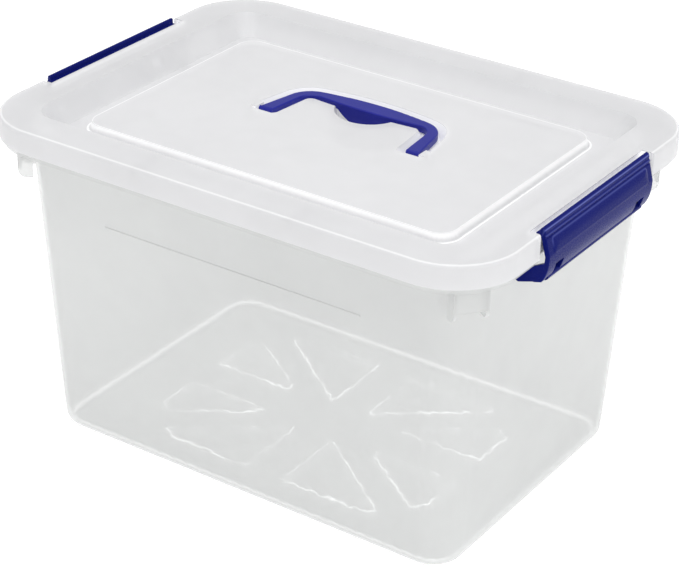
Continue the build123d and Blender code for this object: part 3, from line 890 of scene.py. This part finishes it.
latch_grid = np.stack([np.broadcast_to(loop[:, :1], shape), np.broadcast_to(across, shape),
                       np.broadcast_to(loop[:, 1:], shape)], axis=2).copy()
face_rows = slice(len(crest), len(crest) + len(outer))
face_y, face_z = latch_grid[face_rows, :, 1], latch_grid[face_rows, :, 2]
latch_grid[face_rows, :, 0] += plate_relief(face_y, face_z)
latch_grid[:, [0, -1], 0] -= 0.25
# a painted highlight: the top edge's line, the rib and the panel's rim turn a paler blue in the latch's
# material
painted_highlight_mask = np.zeros(shape)
panel_rim = line(panel_depth(face_y, face_z), 0.5, 0.5) * smooth_step(face_z, 230.0, 236.0)
painted_highlight_mask[face_rows] = 0.7 * line(face_z, 244.6, 0.5) + 0.35 * line(face_z, 241.0, 0.4) + 0.35 * panel_rim

# the grid's faces, without those of the windows, then the windows' lintels and side walls
window_start = len(crest) + int(np.argmin(np.abs(outer_z - window_high)))
window_end = len(crest) + len(outer) + len(band) - 2
middles = np.abs(across[:-1] + np.diff(across) / 2)
in_window = (middles > window_sides[0]) & (middles < window_sides[1])
rows, strips = np.meshgrid(np.arange(len(loop)), np.arange(len(across) - 1), indexing="ij")
kept = ~(in_window[strips] & (rows >= window_start) & (rows < window_end))
first = (rows * len(across) + strips)[kept]
second = ((rows + 1) % len(loop) * len(across) + strips)[kept]
latch_faces = np.stack([first, second, second + 1, first + 1], axis=1).tolist()
lintel = np.flatnonzero(in_window)
latch_faces += np.stack([window_start * len(across) + lintel, window_end * len(across) + lintel,
                         window_end * len(across) + lintel + 1, window_start * len(across) + lintel + 1],
                        axis=1).tolist()
window_rows = np.arange(window_start, window_end + 1) * len(across)
changes = np.flatnonzero(np.diff(np.concatenate([[0], in_window.astype(int), [0]])))
for place, turn in zip(changes, (1, -1) * 2):
    latch_faces.append((window_rows + place)[::turn].tolist())
end_ring = np.arange(len(loop)) * len(across)
latch_faces += [end_ring[::-1].tolist(), (end_ring + len(across) - 1).tolist()]
latch_points = latch_grid.reshape(-1, 3)

# the cheeks that turn on the stubs, and the round bar behind the windows
cheek_profile = np.concatenate([arc_outline(hinge, ear_radius, np.linspace(100, 262, 15)),
                                [(plate_x - 4.7, 209.2), (plate_x - 3.0, 212.0), (plate_x - 1.7, 215.5),
                                 (plate_x - 0.8, 219.0), (plate_x - 0.3, 226.5), (plate_x - 2.8, 222.4)]])
bar_profile = arc_outline(bar_centre, bar_radius, full_turn)
for profile, middle, half_width in ((cheek_profile, cheek_middle, cheek_half),
                                    (cheek_profile, -cheek_middle, cheek_half),
                                    (bar_profile, 0, bar_half)):
    points, faces = prism(profile, np.array([0.0, 1.0]), middle, half_width)
    latch_faces += [[len(latch_points) + corner for corner in face] for face in faces]
    latch_points = np.concatenate([latch_points, points])
painted_highlight_mask = np.append(painted_highlight_mask.ravel(), np.zeros(len(latch_points) - painted_highlight_mask.size))

latch_plastic = pigmented_material("navy_plastic", deep=(0.004, 0.008, 0.125), light=(0.006, 0.011, 0.165),
                                   rough=(0.22, 0.32), gloss=0.05, bump=0.12)
# the painted highlight mask lightens the navy to a paler blue
lightened(latch_plastic, painted_highlight_of(latch_plastic), (0.16, 0.19, 0.55), thicker=0)
for name, side in (("latch_right", 1), ("latch_left", -1)):
    latch = moulding(name + "_moulding", latch_points * [side, 1, 1],
                     [face[::side] for face in latch_faces], {"painted_highlight": painted_highlight_mask}, sharp=latch_sharp)
    rounding = latch.modifiers.new("soft_edges", "BEVEL")
    rounding.width = 0.2 * MM
    rounding.segments = 2
    rounding.limit_method = "ANGLE"
    rounding.angle_limit = math.radians(latch_sharp)
    latch.data.materials.append(latch_plastic)
    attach(latch, name)
    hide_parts(name)
